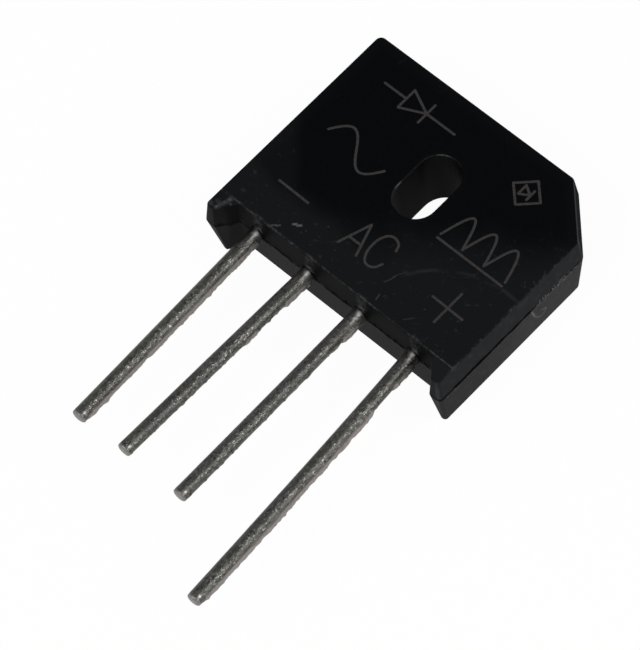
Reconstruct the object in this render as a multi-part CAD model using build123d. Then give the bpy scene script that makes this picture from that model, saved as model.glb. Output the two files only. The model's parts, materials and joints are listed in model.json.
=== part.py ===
from build123d import *
import os
from math import cos, radians, tan

# Moulded bridge rectifier with four round leads, lying on its back face.
# Origin at the middle of the mounting slot on the flat back face,
# +Z out of the marked face, -Y along the leads, +X towards the plus lead.

# Body moulding, sizes at the parting plane where it is widest
body_width = 23.1
body_height = 17.5
back_depth = 4.4
front_depth = 2.2
mould_draft = 6.2
corner_cut = 3.85
corner_radius = 0.5
face_edge_radius = 0.12

# Stand-off feet at both ends of the lead side
foot_height = 1.55
foot_tip_width = 1.03
foot_side_run = 1.15
foot_corner_radius = 0.15
foot_outer_radius = 0.3
foot_back_relief = 0.2
foot_root_radius = 0.3
foot_front_slope = 2.5

# Most of a foot's tip that one of its rounded corners may take up
tip_corner_share = 0.6

# Mounting slot, sizes at the marked face
slot_width = 3.4
slot_length = 5.8
slot_draft = 2.4
slot_above_lead_side = 10.0
slot_rim_radius = 0.12

# Leads
lead_pitch = 5.08
lead_diameter = 1.25
lead_length = 18.85
plus_lead_extra = 5.1
lead_row_shift = -0.12
lead_tip_round = 0.22
lead_seat = 0.03
minus_lean = 1.7
left_supply_lean = -0.6
right_supply_lean = 0.6
plus_lean = 3.4

# Flattened inner ends of the leads
shoulder_length = 1.4
blade_width = 1.9
blade_thickness = 0.5
blade_to_bridge = 0.6

# Diode dies and their solder
die_size = 3.2
die_thickness = 0.3
die_to_side = 5.35
die_below_slot = 0.9
solder_thickness = 0.08
solder_margin = 0.15

# Copper plates and straps that join the dies to the leads
plate_thickness = 0.5
plate_margin = 0.35
bridge_width = 1.6
strap_thickness = 0.5
strap_band = 1.7
strap_lap = 0.8
copper_to_slot = 0.7

# Levels and places that follow from the sizes above
total_depth = back_depth + front_depth
half_width = body_width / 2
lead_side = -slot_above_lead_side
top_edge = lead_side + body_height
foot_end = lead_side - foot_height
foot_inner = half_width - foot_tip_width
foot_root = foot_inner - foot_side_run
marked_edge = lead_side + front_depth * tan(radians(mould_draft))
shoulder_end = lead_side + shoulder_length
plate_top = back_depth + plate_thickness / 2
plate_bottom = back_depth - plate_thickness / 2
die_stack = die_thickness + 2 * solder_thickness
minus_strap_top = plate_bottom - die_stack
plus_strap_bottom = plate_top + die_stack
die_spacing = body_width - 2 * die_to_side
die_middle = -die_below_slot
slot_reach = slot_length / 2 + total_depth * tan(radians(slot_draft))
bridge_top = -slot_reach - copper_to_slot
bridge_bottom = bridge_top - bridge_width
blade_end = bridge_bottom - blade_to_bridge
band_start = blade_end - strap_lap
band_end = band_start + strap_band


def drawn_in(corners, distance):
    """Corners of an outline, listed anticlockwise, after every side has moved in by a distance."""
    moved = []
    for before, corner, after in zip(corners[-1:] + corners[:-1], corners, corners[1:] + corners[:1]):
        arriving = (Vector(*corner) - Vector(*before)).normalized()
        leaving = (Vector(*after) - Vector(*corner)).normalized()
        inward = Vector(-arriving.Y, arriving.X)
        inward_next = Vector(-leaving.Y, leaving.X)
        step = (inward + inward_next) * (distance / (1 + inward.dot(inward_next)))
        moved.append((corner[0] + step.X, corner[1] + step.Y))
    return moved


def body_outline(distance, relief):
    """Outline of the moulding, drawn in from the parting line by a distance, its feet shorter by a relief."""
    tip_level = foot_end + relief
    tip_inner = foot_inner - relief * foot_side_run / foot_height
    corners = [
        (-half_width, tip_level),
        (-tip_inner, tip_level),
        (-foot_root, lead_side),
        (foot_root, lead_side),
        (tip_inner, tip_level),
        (half_width, tip_level),
        (half_width, top_edge - corner_cut),
        (half_width - corner_cut, top_edge),
        (-half_width, top_edge),
    ]
    corners = drawn_in(corners, distance)
    tip_width = corners[1][0] - corners[0][0]
    largest_radius = tip_corner_share * tip_width
    outer_radius = min(foot_outer_radius, largest_radius)
    inner_radius = min(foot_corner_radius, largest_radius)
    foot_radii = [outer_radius, inner_radius, foot_root_radius]
    radii = foot_radii + foot_radii[::-1] + [corner_radius] * 3
    return make_face(FilletPolyline(*corners, radius=radii, close=True))


def mould_half(face_level, relief):
    """One half of the moulding, drawn in by the draft to its face, where its feet are shorter by a relief."""
    depth = abs(face_level - back_depth)
    parting = Plane.XY.offset(back_depth) * body_outline(0, 0)
    face = Plane.XY.offset(face_level) * body_outline(depth * tan(radians(mould_draft)), relief)
    return loft([parting, face], ruled=True)


def foot_wedge():
    """Wedge that sets the fronts of the feet back from the marked face towards their tips."""
    reach = 2 * foot_height
    drop = reach * tan(radians(foot_front_slope))
    corners = [
        (marked_edge, total_depth),
        (marked_edge - reach, total_depth),
        (marked_edge - reach, total_depth - drop),
    ]
    profile = make_face(Polyline(*corners, close=True))
    return extrude(Plane.YZ * profile, amount=half_width, both=True)


def mounting_slot():
    """Through slot, wider at the back face because its core pin draws out that way."""
    plane = Plane.XY.offset(total_depth)
    mouth = plane * SlotOverall(slot_length, slot_width, rotation=90)
    return extrude(mouth, amount=-total_depth, taper=-slot_draft)


def round_rims(body):
    """Rounds the rim of the marked face and the rim of the slot in it."""
    marked_face = body.faces().filter_by(Axis.Z).sort_by(Axis.Z)[-1]
    body = body.fillet(slot_rim_radius, marked_face.inner_wires()[0].edges())
    marked_face = body.faces().filter_by(Axis.Z).sort_by(Axis.Z)[-1]
    rim = marked_face.outer_wire().edges()
    return body.fillet(face_edge_radius, rim)


def lead_place(number):
    """Place across the body of a lead, counted from 0 at the minus lead."""
    return lead_row_shift + (number - 1.5) * lead_pitch


def lead(number, lean, length, blade_bottom):
    """One lead: a round wire that leans by an angle, and the end that it was flattened to inside."""
    place = lead_place(number)
    direction = Vector(tan(radians(lean)), -1, 0)
    root = Plane((place, lead_side, back_depth), x_dir=(0, 0, 1), z_dir=direction).offset(-lead_seat)
    run = length / cos(radians(lean)) + lead_seat
    wire = extrude(root * Circle(lead_diameter / 2), amount=run)
    tip = wire.edges().filter_by(GeomType.CIRCLE).sort_by(Axis.Y)[0]
    wire = fillet(tip, lead_tip_round)
    blade_middle = blade_bottom + blade_thickness / 2
    section = Rectangle(blade_thickness, blade_width)
    shoulder = Plane((place, shoulder_end, blade_middle), x_dir=(0, 0, 1), z_dir=(0, -1, 0))
    flattened = loft([root * Circle(lead_diameter / 2), shoulder * section], ruled=True)
    blade = extrude(shoulder * section, amount=shoulder_end - blade_end)
    return wire + flattened + blade


def supply_plate(side):
    """Copper plate that joins a supply lead's blade to the two dies of its side."""
    inner = die_spacing / 2 - die_size / 2 - plate_margin
    outer = die_spacing / 2 + die_size / 2 + plate_margin
    high = die_middle + die_size / 2 + plate_margin
    number = 1 if side < 0 else 2
    neck_near = side * lead_place(number) - blade_width / 2
    neck_far = neck_near + blade_width
    corners = [
        (neck_near, blade_end),
        (neck_near, bridge_top),
        (inner, bridge_top),
        (inner, high),
        (outer, high),
        (outer, bridge_bottom),
        (neck_far, bridge_bottom),
        (neck_far, blade_end),
    ]
    plate = make_face(Polyline(*[(side * x, y) for x, y in corners], close=True))
    return extrude(Plane.XY.offset(plate_bottom) * plate, amount=plate_thickness, dir=(0, 0, 1))


def strap(outer_lead, bottom):
    """Copper strap with an upright under or over each side's dies and a band that joins them."""
    inner = die_spacing / 2 - die_size / 2 - plate_margin
    outer = die_spacing / 2 + die_size / 2 + plate_margin
    high = die_middle + die_size / 2 + plate_margin
    band_outer = abs(outer_lead) + blade_width / 2
    band = Pos(0, (band_start + band_end) / 2, 0) * Rectangle(2 * band_outer, strap_band)
    upright = Rectangle(outer - inner, high - band_start)
    height = (band_start + high) / 2
    middle = (inner + outer) / 2
    shape = band + Pos(middle, height, 0) * upright + Pos(-middle, height, 0) * upright
    return extrude(Plane.XY.offset(bottom) * shape, amount=strap_thickness)


def die(side, bottom):
    """One square silicon die."""
    place = Pos(side * die_spacing / 2, die_middle, bottom + die_thickness / 2)
    return place * Box(die_size, die_size, die_thickness)


def solder(side, bottom):
    """Solder layer on one face of a die."""
    size = die_size - 2 * solder_margin
    place = Pos(side * die_spacing / 2, die_middle, bottom + solder_thickness / 2)
    return place * Box(size, size, solder_thickness)


pieces = {}

supply_blade_bottom = back_depth - blade_thickness / 2
plus_blade_bottom = plus_strap_bottom - blade_thickness
plus_length = lead_length + plus_lead_extra
pieces["minus_lead"] = lead(0, minus_lean, lead_length, minus_strap_top)
pieces["left_supply_lead"] = lead(1, left_supply_lean, lead_length, supply_blade_bottom)
pieces["right_supply_lead"] = lead(2, right_supply_lean, lead_length, supply_blade_bottom)
pieces["plus_lead"] = lead(3, plus_lean, plus_length, plus_blade_bottom)
pieces["left_supply_plate"] = supply_plate(-1)
pieces["right_supply_plate"] = supply_plate(1)
pieces["minus_strap"] = strap(lead_place(0), minus_strap_top - strap_thickness)
pieces["plus_strap"] = strap(lead_place(3), plus_strap_bottom)

for side_name, side in (("left", -1), ("right", 1)):
    for level_name, bottom in (("lower", minus_strap_top), ("upper", plate_top)):
        pieces[f"{level_name}_{side_name}_die"] = die(side, bottom + solder_thickness)
        pieces[f"{level_name}_{side_name}_solder_under"] = solder(side, bottom)
        top = bottom + solder_thickness + die_thickness
        pieces[f"{level_name}_{side_name}_solder_over"] = solder(side, top)

body = mould_half(0, foot_back_relief) + mould_half(total_depth, 0)
body = round_rims(body - mounting_slot())
body = body - foot_wedge()
for piece in pieces.values():
    body = body - piece
pieces["body_moulding"] = body

os.makedirs("parts", exist_ok=True)
for name, piece in pieces.items():
    export_step(piece, f"parts/{name}.step")
    print(name, round(piece.volume, 3), len(piece.solids()), piece.is_valid)
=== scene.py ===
"""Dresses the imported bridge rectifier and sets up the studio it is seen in.

Plain numbers are millimetres in the part's own frame; what is handed to Blender is turned into metres.
"""
import json
import logging
from dataclasses import dataclass, field
from enum import Enum
from functools import reduce
from math import cos, pi, radians, sin, tan
from typing import Mapping, Sequence, Union

import bpy
import numpy as np
from mathutils import Matrix, Vector


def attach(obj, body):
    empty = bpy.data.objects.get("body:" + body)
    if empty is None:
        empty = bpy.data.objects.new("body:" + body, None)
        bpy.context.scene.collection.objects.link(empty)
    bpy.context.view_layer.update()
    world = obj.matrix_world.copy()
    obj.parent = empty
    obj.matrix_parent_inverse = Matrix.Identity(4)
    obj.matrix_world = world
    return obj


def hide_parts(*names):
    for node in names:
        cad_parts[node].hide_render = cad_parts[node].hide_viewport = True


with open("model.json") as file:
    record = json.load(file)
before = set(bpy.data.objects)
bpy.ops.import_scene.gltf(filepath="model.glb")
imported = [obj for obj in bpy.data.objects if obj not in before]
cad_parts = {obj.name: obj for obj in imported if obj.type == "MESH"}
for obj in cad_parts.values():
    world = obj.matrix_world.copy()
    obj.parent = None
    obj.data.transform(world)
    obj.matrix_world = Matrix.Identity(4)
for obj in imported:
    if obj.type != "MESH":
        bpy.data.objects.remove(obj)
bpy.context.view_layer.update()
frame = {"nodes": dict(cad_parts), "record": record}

MM = 0.001
LOG = logging.getLogger("rectifier")

Colour = tuple[float, float, float]
Point2 = tuple[float, float]
Point3 = tuple[float, float, float]
Input = Union["Field", float, int, tuple, str, bool]

# Levels and slot of the moulding, as the solid model has them
FACE_LEVEL = 6.6
PARTING_LEVEL = 4.4
LEAD_SIDE = -10.0
SLOT_RADIUS = 1.7
SLOT_STRAIGHT = 1.2

# Edges of the marked face. On the cut corner X + Y is the same all along.
FACE_SIDE = 11.3
FACE_FAR = 7.26
FACE_CUT = 14.86
DIAGONAL = 0.707

# Where the drafted sides begin, in the same way
DRAFT_SIDE = 11.0
DRAFT_FAR = 6.98
DRAFT_CUT = 14.5

# Middle lines of the worn rims. The cut corner's is measured along the diagonal.
RIM_LEADS = -9.70
RIM_FAR = 7.24
RIM_SIDE = 11.27
RIM_CUT = 10.47

# Where the leads leave the body, from the minus end
LEAD_PLACES = (-7.80, -2.72, 2.36, 7.48)


class Sum(Enum):
    """Sums that a Math node does."""

    ADD = "ADD"
    SUBTRACT = "SUBTRACT"
    MULTIPLY = "MULTIPLY"
    LARGER = "MAXIMUM"
    SMALLER = "MINIMUM"
    SIZE = "ABSOLUTE"


class CellPart(Enum):
    """What the distance in a pattern of scattered cells is measured to."""

    MIDDLE = "F1"
    BORDER = "DISTANCE_TO_EDGE"


class Field:
    """A value, vector or colour inside a material, which takes part in Python arithmetic."""

    def __init__(self, graph: "Graph", socket: bpy.types.NodeSocket) -> None:
        """Wraps a socket.

        Args:
            graph: The graph that the socket belongs to.
            socket: An output socket.
        """
        self.graph = graph
        self.socket = socket

    @property
    def is_vector(self) -> bool:
        """Whether the socket carries three numbers."""
        return self.socket.type in {"VECTOR", "RGBA"}

    def _join(self, way: Sum, first: Input, second: Input) -> "Field":
        """Joins two inputs by a Math or Vector Math node, whichever their kind asks for.

        Args:
            way: The sum.
            first: Its first input.
            second: Its second input.

        Returns:
            The result, which is a vector if either input is one.
        """
        vectors = [isinstance(i, tuple) or (isinstance(i, Field) and i.is_vector) for i in (first, second)]
        if not any(vectors):
            return self.graph.sum(way, first, second)
        pair = [i if vector else self.graph.combine(i, i, i) for i, vector in zip((first, second), vectors)]
        return self.graph.node("ShaderNodeVectorMath", {"operation": way.value}, {0: pair[0], 1: pair[1]})

    def __add__(self, other: Input) -> "Field":
        """Adds."""
        return self._join(Sum.ADD, self, other)

    def __radd__(self, other: Input) -> "Field":
        """Adds, with this field on the right."""
        return self._join(Sum.ADD, other, self)

    def __sub__(self, other: Input) -> "Field":
        """Subtracts."""
        return self._join(Sum.SUBTRACT, self, other)

    def __rsub__(self, other: Input) -> "Field":
        """Subtracts this field from something."""
        return self._join(Sum.SUBTRACT, other, self)

    def __mul__(self, other: Input) -> "Field":
        """Multiplies."""
        return self._join(Sum.MULTIPLY, self, other)

    def __rmul__(self, other: Input) -> "Field":
        """Multiplies, with this field on the right."""
        return self._join(Sum.MULTIPLY, other, self)

    def __abs__(self) -> "Field":
        """Takes the size without the sign."""
        return self.graph.sum(Sum.SIZE, self)


class Graph:
    """A material under construction: its nodes, and the shader at its end."""

    def __init__(self, name: str) -> None:
        """Makes an empty node material.

        Args:
            name: The material's name.
        """
        self.material = bpy.data.materials.new(name)
        self.material.use_nodes = True
        self.tree = self.material.node_tree
        self.tree.nodes.clear()

    def node(
        self, kind: str, settings: Mapping[str, object] | None = None,
        sockets: Mapping[int | str, Input] | None = None, output: int | str = 0,
    ) -> Field:
        """Adds one node.

        Args:
            kind: The node's type.
            settings: Its properties, set before its sockets.
            sockets: A value or a field for each input, by number, name or identifier.
            output: Which output is returned, by number, name or identifier.

        Returns:
            The chosen output.
        """
        made = self.tree.nodes.new(kind)
        for key, value in (settings or {}).items():
            setattr(made, key, value)
        for key, value in (sockets or {}).items():
            target = self._find(made.inputs, key)
            if isinstance(value, Field):
                self.tree.links.new(value.socket, target)
            elif target.type == "RGBA" and isinstance(value, tuple) and len(value) == 3:
                target.default_value = (*value, 1.0)
            else:
                target.default_value = value
        return Field(self, self._find(made.outputs, output))

    @staticmethod
    def _find(sockets: Sequence[bpy.types.NodeSocket], key: int | str) -> bpy.types.NodeSocket:
        """Finds a socket.

        Args:
            sockets: The sockets of one side of a node.
            key: Its number, identifier or name.

        Returns:
            The socket.
        """
        if isinstance(key, int):
            return sockets[key]
        return next(s for s in sockets if key in (s.identifier, s.name))

    def place(self) -> Field:
        """Where a point of the surface is on the object, in millimetres."""
        where = self.node("ShaderNodeTexCoord", output="Object")
        return self.node("ShaderNodeVectorMath", {"operation": "SCALE"}, {0: where, "Scale": 1.0 / MM})

    def split(self, vector: Field) -> tuple[Field, Field, Field]:
        """Takes a vector apart into its three numbers."""
        parts = self.node("ShaderNodeSeparateXYZ", sockets={0: vector}).socket.node.outputs
        return Field(self, parts[0]), Field(self, parts[1]), Field(self, parts[2])

    def combine(self, x: Input, y: Input, z: Input) -> Field:
        """Puts three numbers together into a vector."""
        return self.node("ShaderNodeCombineXYZ", sockets={0: x, 1: y, 2: z})

    def noise(
        self, vector: Field, scale: float, detail: float = 3.0, rough: float = 0.55, warp: float = 0.0,
    ) -> Field:
        """Smooth noise from 0 to 1.

        Args:
            vector: The coordinates it is read at, in millimetres.
            scale: Features per millimetre.
            detail: How many finer layers are added.
            rough: How strong the finer layers are.
            warp: How much it is pulled about.

        Returns:
            The noise value.
        """
        layers = {"Detail": detail, "Roughness": rough, "Distortion": warp}
        sockets = {"Vector": vector, "Scale": scale, **layers}
        return self.node("ShaderNodeTexNoise", {"noise_dimensions": "3D"}, sockets, "Fac")

    def cells(self, vector: Field, scale: float, part: CellPart = CellPart.MIDDLE) -> Field:
        """Distance to the middles of scattered cells, or to the borders between them."""
        sockets = {"Vector": vector, "Scale": scale}
        return self.node("ShaderNodeTexVoronoi", {"feature": part.value}, sockets, "Distance")

    def smooth(self, value: Input, low: float, high: float, start: float = 0.0, end: float = 1.0) -> Field:
        """Rises smoothly from start to end as a value goes from low to high."""
        sockets = {"Value": value, "From Min": low, "From Max": high, "To Min": start, "To Max": end}
        return self.node("ShaderNodeMapRange", {"interpolation_type": "SMOOTHSTEP"}, sockets)

    def lay(self, under: Input, over: Input, share: Input) -> Field:
        """Lays one colour over another, where a share from 0 to 1 says how much of the upper one shows."""
        sockets = {"Factor_Float": share, "A_Color": under, "B_Color": over}
        return self.node("ShaderNodeMix", {"data_type": "RGBA"}, sockets, "Result_Color")

    def coats(self, under: Input, *coats: tuple[Input, Input]) -> Field:
        """Lays colours over one another.

        Args:
            under: The lowest colour.
            *coats: Each colour that comes over it, from below, with the share of it that shows.

        Returns:
            The colour on top.
        """
        for over, share in coats:
            under = self.lay(under, over, share)
        return under

    def sum(self, way: Sum, *values: Input) -> Field:
        """Does one sum on plain values."""
        return self.node("ShaderNodeMath", {"operation": way.value}, dict(enumerate(values)))

    def most(self, first: Input, second: Input) -> Field:
        """The larger of two values."""
        return self.sum(Sum.LARGER, first, second)

    def least(self, first: Input, second: Input) -> Field:
        """The smaller of two values."""
        return self.sum(Sum.SMALLER, first, second)

    def reach(self, vector: Field) -> Field:
        """How long a vector is."""
        return self.node("ShaderNodeVectorMath", {"operation": "LENGTH"}, {0: vector}, "Value")

    def layer(self, name: str) -> Field:
        """A number that the mesh carries at each of its points."""
        return self.node("ShaderNodeAttribute", {"attribute_name": name}, output="Fac")

    def relief(self, height: Field, depth: float) -> Field:
        """Tilts the surface by a height, where a height of 1 stands for a depth in millimetres."""
        return self.node("ShaderNodeBump", sockets={"Distance": depth * MM, "Height": height})

    def finish(self, **sockets: Input) -> bpy.types.Material:
        """Closes the material with its shader.

        Args:
            **sockets: Shader inputs by name, with underscores for spaces.

        Returns:
            The finished material.
        """
        named = {key.replace("_", " "): value for key, value in sockets.items()}
        self.end(self.node("ShaderNodeBsdfPrincipled", sockets=named))
        return self.material

    def end(self, shader: Field) -> None:
        """Leads a shader to the material's output."""
        output = self.tree.nodes.new("ShaderNodeOutputMaterial")
        self.tree.links.new(shader.socket, output.inputs["Surface"])


@dataclass(frozen=True)
class Fleck:
    """A pale crumb on the epoxy, in millimetres."""

    x: float
    y: float
    z: float
    size: float
    strength: float


@dataclass(frozen=True)
class Scratch:
    """A pale rubbed line on the epoxy, from point to point, in millimetres."""

    points: Sequence[Point3]
    width: float
    strength: float


@dataclass(frozen=True)
class Spot:
    """The point of the moulding that its finish is worked out for, in millimetres."""

    where: Field
    x: Field
    y: Field
    z: Field
    to_slot: Field


@dataclass(frozen=True)
class EpoxyFinish:
    """Black moulded epoxy: dull faces, slightly polished drafted sides, and wear towards the leads."""

    name: str = "black_epoxy"
    fresh_colour: Colour = (0.0021, 0.0024, 0.0031)
    worn_colour: Colour = (0.0074, 0.0082, 0.0090)
    side_colour: Colour = (0.0036, 0.0036, 0.0035)
    front_band_colour: Colour = (0.0024, 0.0040, 0.0048)
    back_band_colour: Colour = (0.0046, 0.0036, 0.0034)
    # painted shade: darker colour on the slot's walls, where the recess is in shade
    slot_shade_colour: Colour = (0.0010, 0.0010, 0.0011)
    scuff_colour: Colour = (0.028, 0.029, 0.032)
    dust_colour: Colour = (0.13, 0.13, 0.135)
    # painted highlight on the rims of the marked face and on the wall over each lead's exit
    painted_highlight_colour: Colour = (0.075, 0.075, 0.078)
    # painted sheen on the slot's edge towards the minus lead
    crescent_sheen_colour: Colour = (0.013, 0.0155, 0.017)
    seam_colour: Colour = (0.0006, 0.0006, 0.0006)
    # painted sheen: paler front of the plus foot, where its tilted face catches more light
    foot_sheen_colour: Colour = (0.0105, 0.0115, 0.0125)
    gloss: float = 0.016
    polish: float = 0.13
    polish_roughness: float = 0.42
    grain_depth: float = 0.012
    ring_middle: Point2 = (10.2, -10.75)
    ring_radius: float = 7.8
    far_glint: Point2 = (-0.75, 2.55)
    left_glint: Point2 = (-1.80, -1.25)
    crescent_middle: Point2 = (-1.35, -2.05)
    flecks: Sequence[Fleck] = (
        Fleck(-4.19, -8.29, 6.6, 0.10, 0.35), Fleck(-3.20, -7.00, 6.6, 0.10, 0.40),
        Fleck(-3.18, -8.95, 6.6, 0.08, 0.30), Fleck(-1.53, -8.09, 6.6, 0.07, 0.30),
        Fleck(2.69, -6.87, 6.6, 0.07, 0.30), Fleck(6.60, -7.53, 6.6, 0.08, 0.50),
        Fleck(-8.95, -7.39, 6.6, 0.08, 0.50), Fleck(-9.97, -8.76, 6.6, 0.35, 0.09),
        Fleck(-10.16, -9.92, 6.57, 0.32, 0.36), Fleck(-9.90, -10.20, 6.55, 0.22, 0.30),
        Fleck(-10.36, -10.36, 6.54, 0.17, 0.25), Fleck(-10.56, -10.98, 6.53, 0.12, 0.60),
        Fleck(-11.20, -11.05, 6.50, 0.50, 0.26), Fleck(-10.75, -10.60, 6.50, 0.40, 0.18),
        Fleck(11.44, -1.65, 3.40, 0.15, 0.75), Fleck(11.35, -0.65, 2.60, 0.13, 0.50),
        Fleck(11.52, -1.95, 4.40, 0.16, 0.50),
    )
    scratches: Sequence[Scratch] = (
        Scratch([
            (-5.28, -8.50, 6.60), (-5.10, -8.34, 6.60), (-4.98, -8.40, 6.60), (-4.76, -8.20, 6.60),
        ], 0.15, 0.85),
        Scratch([
            (-6.40, -9.56, 6.60), (-6.22, -9.36, 6.60), (-6.10, -9.36, 6.60), (-5.94, -9.16, 6.60),
        ], 0.11, 0.50),
        Scratch([(-10.55, -11.03, 6.53), (-10.20, -10.10, 6.55)], 0.26, 0.34),
        Scratch([(-9.60, -9.97, 6.58), (-8.50, -9.80, 6.60)], 0.10, 0.36),
        Scratch([(-9.25, -10.00, 4.62), (-8.69, -10.00, 3.43)], 0.08, 0.34),
        Scratch([(-10.10, -11.50, 4.55), (-9.60, -11.30, 4.60)], 0.13, 0.28),
        Scratch([(-11.25, -11.38, 3.73), (-11.10, -11.00, 1.40)], 0.16, 0.25),
        Scratch([(9.45, -9.74, 6.60), (11.22, -9.72, 6.60)], 0.07, 0.22),
        Scratch([(11.20, -11.40, 6.50), (11.38, -11.44, 4.50)], 0.26, 0.18),
        Scratch([(11.50, -1.95, 4.40), (11.47, -1.75, 3.70), (11.41, -1.55, 3.00)], 0.17, 0.55),
        Scratch([
            (11.41, -1.60, 3.10), (11.33, -1.32, 2.35), (11.28, -1.02, 1.88), (11.25, -0.68, 1.65),
            (11.26, -0.36, 1.74), (11.30, -0.22, 2.08), (11.34, -0.34, 2.42), (11.36, -0.62, 2.58),
        ], 0.14, 0.48),
        Scratch([(2.90, -7.75, 6.60), (3.12, -7.30, 6.60), (3.22, -6.90, 6.60)], 0.08, 0.24),
        Scratch([(3.10, -7.05, 6.60), (3.30, -6.60, 6.60), (3.62, -6.05, 6.60)], 0.07, 0.16),
        Scratch([(3.42, -9.15, 6.60), (3.35, -8.70, 6.60)], 0.08, 0.34),
        Scratch([(6.00, -9.10, 6.60), (6.50, -8.50, 6.60)], 0.06, 0.24),
    )

    def material(self) -> bpy.types.Material:
        """Builds the material.

        Returns:
            A material that reads only the place on the object.
        """
        g = Graph(self.name)
        where = g.place()
        x, y, z = g.split(where)
        past_straight = g.most(abs(y) - SLOT_STRAIGHT, 0.0)
        to_slot = g.reach(g.combine(x, past_straight, 0.0)) - SLOT_RADIUS
        at = Spot(where, x, y, z, to_slot)
        grain = g.noise(where, 9.0, 5.0, 0.62)
        foot_front = g.smooth(y, -9.80, -9.90) * g.smooth(z, FACE_LEVEL - 0.14, FACE_LEVEL - 0.10)
        on_face = g.most(g.smooth(z, FACE_LEVEL - 0.06, FACE_LEVEL - 0.01), foot_front)
        in_slot = g.smooth(to_slot, 0.5, 0.35)
        by_leads = self._by_leads(g, at)
        polished = self._polished(g, at)
        cut = self._cut_corner(g, at)
        seam, beads = self._seam(g, at)
        seam = seam * g.smooth(to_slot, 0.4, 0.7)
        worn = self._wear(g, at)
        scuffs = self._scuffs(g, at) * on_face * (0.08 + 0.92 * worn)
        specks = 0.6 * self._specks(g, at) * on_face * (0.06 + 0.94 * worn)
        colour = g.coats(
            self.side_colour,
            (self._band(g, at), polished),
            # painted shade: the slot's walls are darkened as the recess is shaded
            (self.slot_shade_colour, in_slot),
            (g.lay(self.fresh_colour, self.worn_colour, worn), on_face),
            # painted sheen on the plus foot's front, standing in for its tilted face catching the light
            (self.foot_sheen_colour, 0.8 * foot_front * g.smooth(x, 0.0, 1.0)),
            (self.worn_colour, 0.3 * g.smooth(grain, 0.5, 0.85)),
            # painted sheen where the slot's rim bevel faces the light
            (self.crescent_sheen_colour, self._crescent_sheen(g, at)),
            (self.scuff_colour, g.least(scuffs + self._ring(g, at) * on_face, 1.0)),
            (self.dust_colour, g.least(specks + self._flecks(g, at), 1.0)),
            # painted highlights along the rims of the marked face and glints on the slot's edge
            (self.painted_highlight_colour, g.least(self._rim_highlights(g, at), 1.0)),
            # painted reflection of each lead on the wall above its exit
            (self.painted_highlight_colour, self._lead_reflections(g, at)),
            (self.seam_colour, seam * (0.5 + 0.5 * polished)),
            (self.dust_colour, beads * polished),
        )
        over_seam = g.smooth(z, PARTING_LEVEL + 1.1, PARTING_LEVEL + 0.2)
        over_seam = over_seam * g.smooth(z, PARTING_LEVEL - 0.02, PARTING_LEVEL + 0.02)
        left_wall = in_slot * g.smooth(x, 0.2, -0.6) * g.smooth(y, 1.8, 1.0)
        rough = 0.46 + 0.16 * grain + 0.12 * scuffs + 0.38 * g.most(cut * polished, seam)
        rough = rough + 0.05 * over_seam * by_leads + 0.10 * left_wall
        height = grain + 0.4 * scuffs - (1.2 + 5.0 * by_leads) * seam
        mottle = 0.55 + 0.9 * g.noise(where * (1.0, 1.0, 0.5), 0.8, 5.0, 0.68)
        coat = self.polish * mottle * self._gleam(g, at, polished, cut) * (1.0 - on_face) * (1.0 - seam)
        return g.finish(
            Base_Color=colour, Roughness=rough, Normal=g.relief(height, self.grain_depth),
            Specular_IOR_Level=self.gloss, Coat_Roughness=self.polish_roughness, Coat_Weight=coat,
        )

    def _band(self, g: Graph, at: Spot) -> Field:
        """Colour of the drafted sides, which is colder in front of the parting plane than behind it.

        Args:
            g: The material.
            at: The point of the surface.

        Returns:
            The colour, with a few scuffed patches.
        """
        front = g.smooth(at.z, PARTING_LEVEL - 0.05, PARTING_LEVEL + 0.05)
        band = g.lay(self.back_band_colour, self.front_band_colour, front)
        return g.lay(band, self.scuff_colour, 0.3 * g.smooth(g.noise(at.where, 1.4, 4.0), 0.5, 0.75))

    def _wear(self, g: Graph, at: Spot) -> Field:
        """How worn the marked face is.

        Args:
            g: The material.
            at: The point of the surface.

        Returns:
            From 0 to 1: most near the leads and the plus side, a little at the left end and along the edges.
        """
        drift = 4.2 * (g.noise(at.where, 0.25, 3.0, 0.5, 0.4) - 0.5)
        slant = g.smooth(at.y - 0.6 * at.x + drift, -2.2, -8.8)
        low = g.smooth(at.y + 0.45 * drift, -5.2, -7.6)
        left = 0.46 * g.smooth(at.x + 0.94 * at.y, -11.9, -13.8)
        to_cut = (FACE_CUT - at.x - at.y) * DIAGONAL
        inset = g.least(g.least(FACE_SIDE - abs(at.x), FACE_FAR - at.y), to_cut)
        edges = 0.18 * g.smooth(inset, 1.3, 0.1) + 0.06 * g.smooth(at.to_slot, 0.6, 0.0)
        return g.least(g.most(g.most(slant, low), left) + edges, 1.0)

    def _polished(self, g: Graph, at: Spot) -> Field:
        """Where the sides are that the mould's walls slide along, from 0 to 1, without the lead side."""
        out = g.most(abs(at.x) - DRAFT_SIDE, at.y - DRAFT_FAR)
        return g.smooth(g.most(out, (at.x + at.y - DRAFT_CUT) * DIAGONAL), 0.0, 0.08)

    def _cut_corner(self, g: Graph, at: Spot) -> Field:
        """Where the cut corner is, from 0 to 1, with its back half at a quarter."""
        upper = 0.25 + 0.75 * g.smooth(at.z, PARTING_LEVEL - 0.5, PARTING_LEVEL - 0.1)
        return g.smooth((at.x + at.y) * DIAGONAL, 10.25, 10.40) * g.smooth(at.y, 3.5, 3.9) * upper

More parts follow.
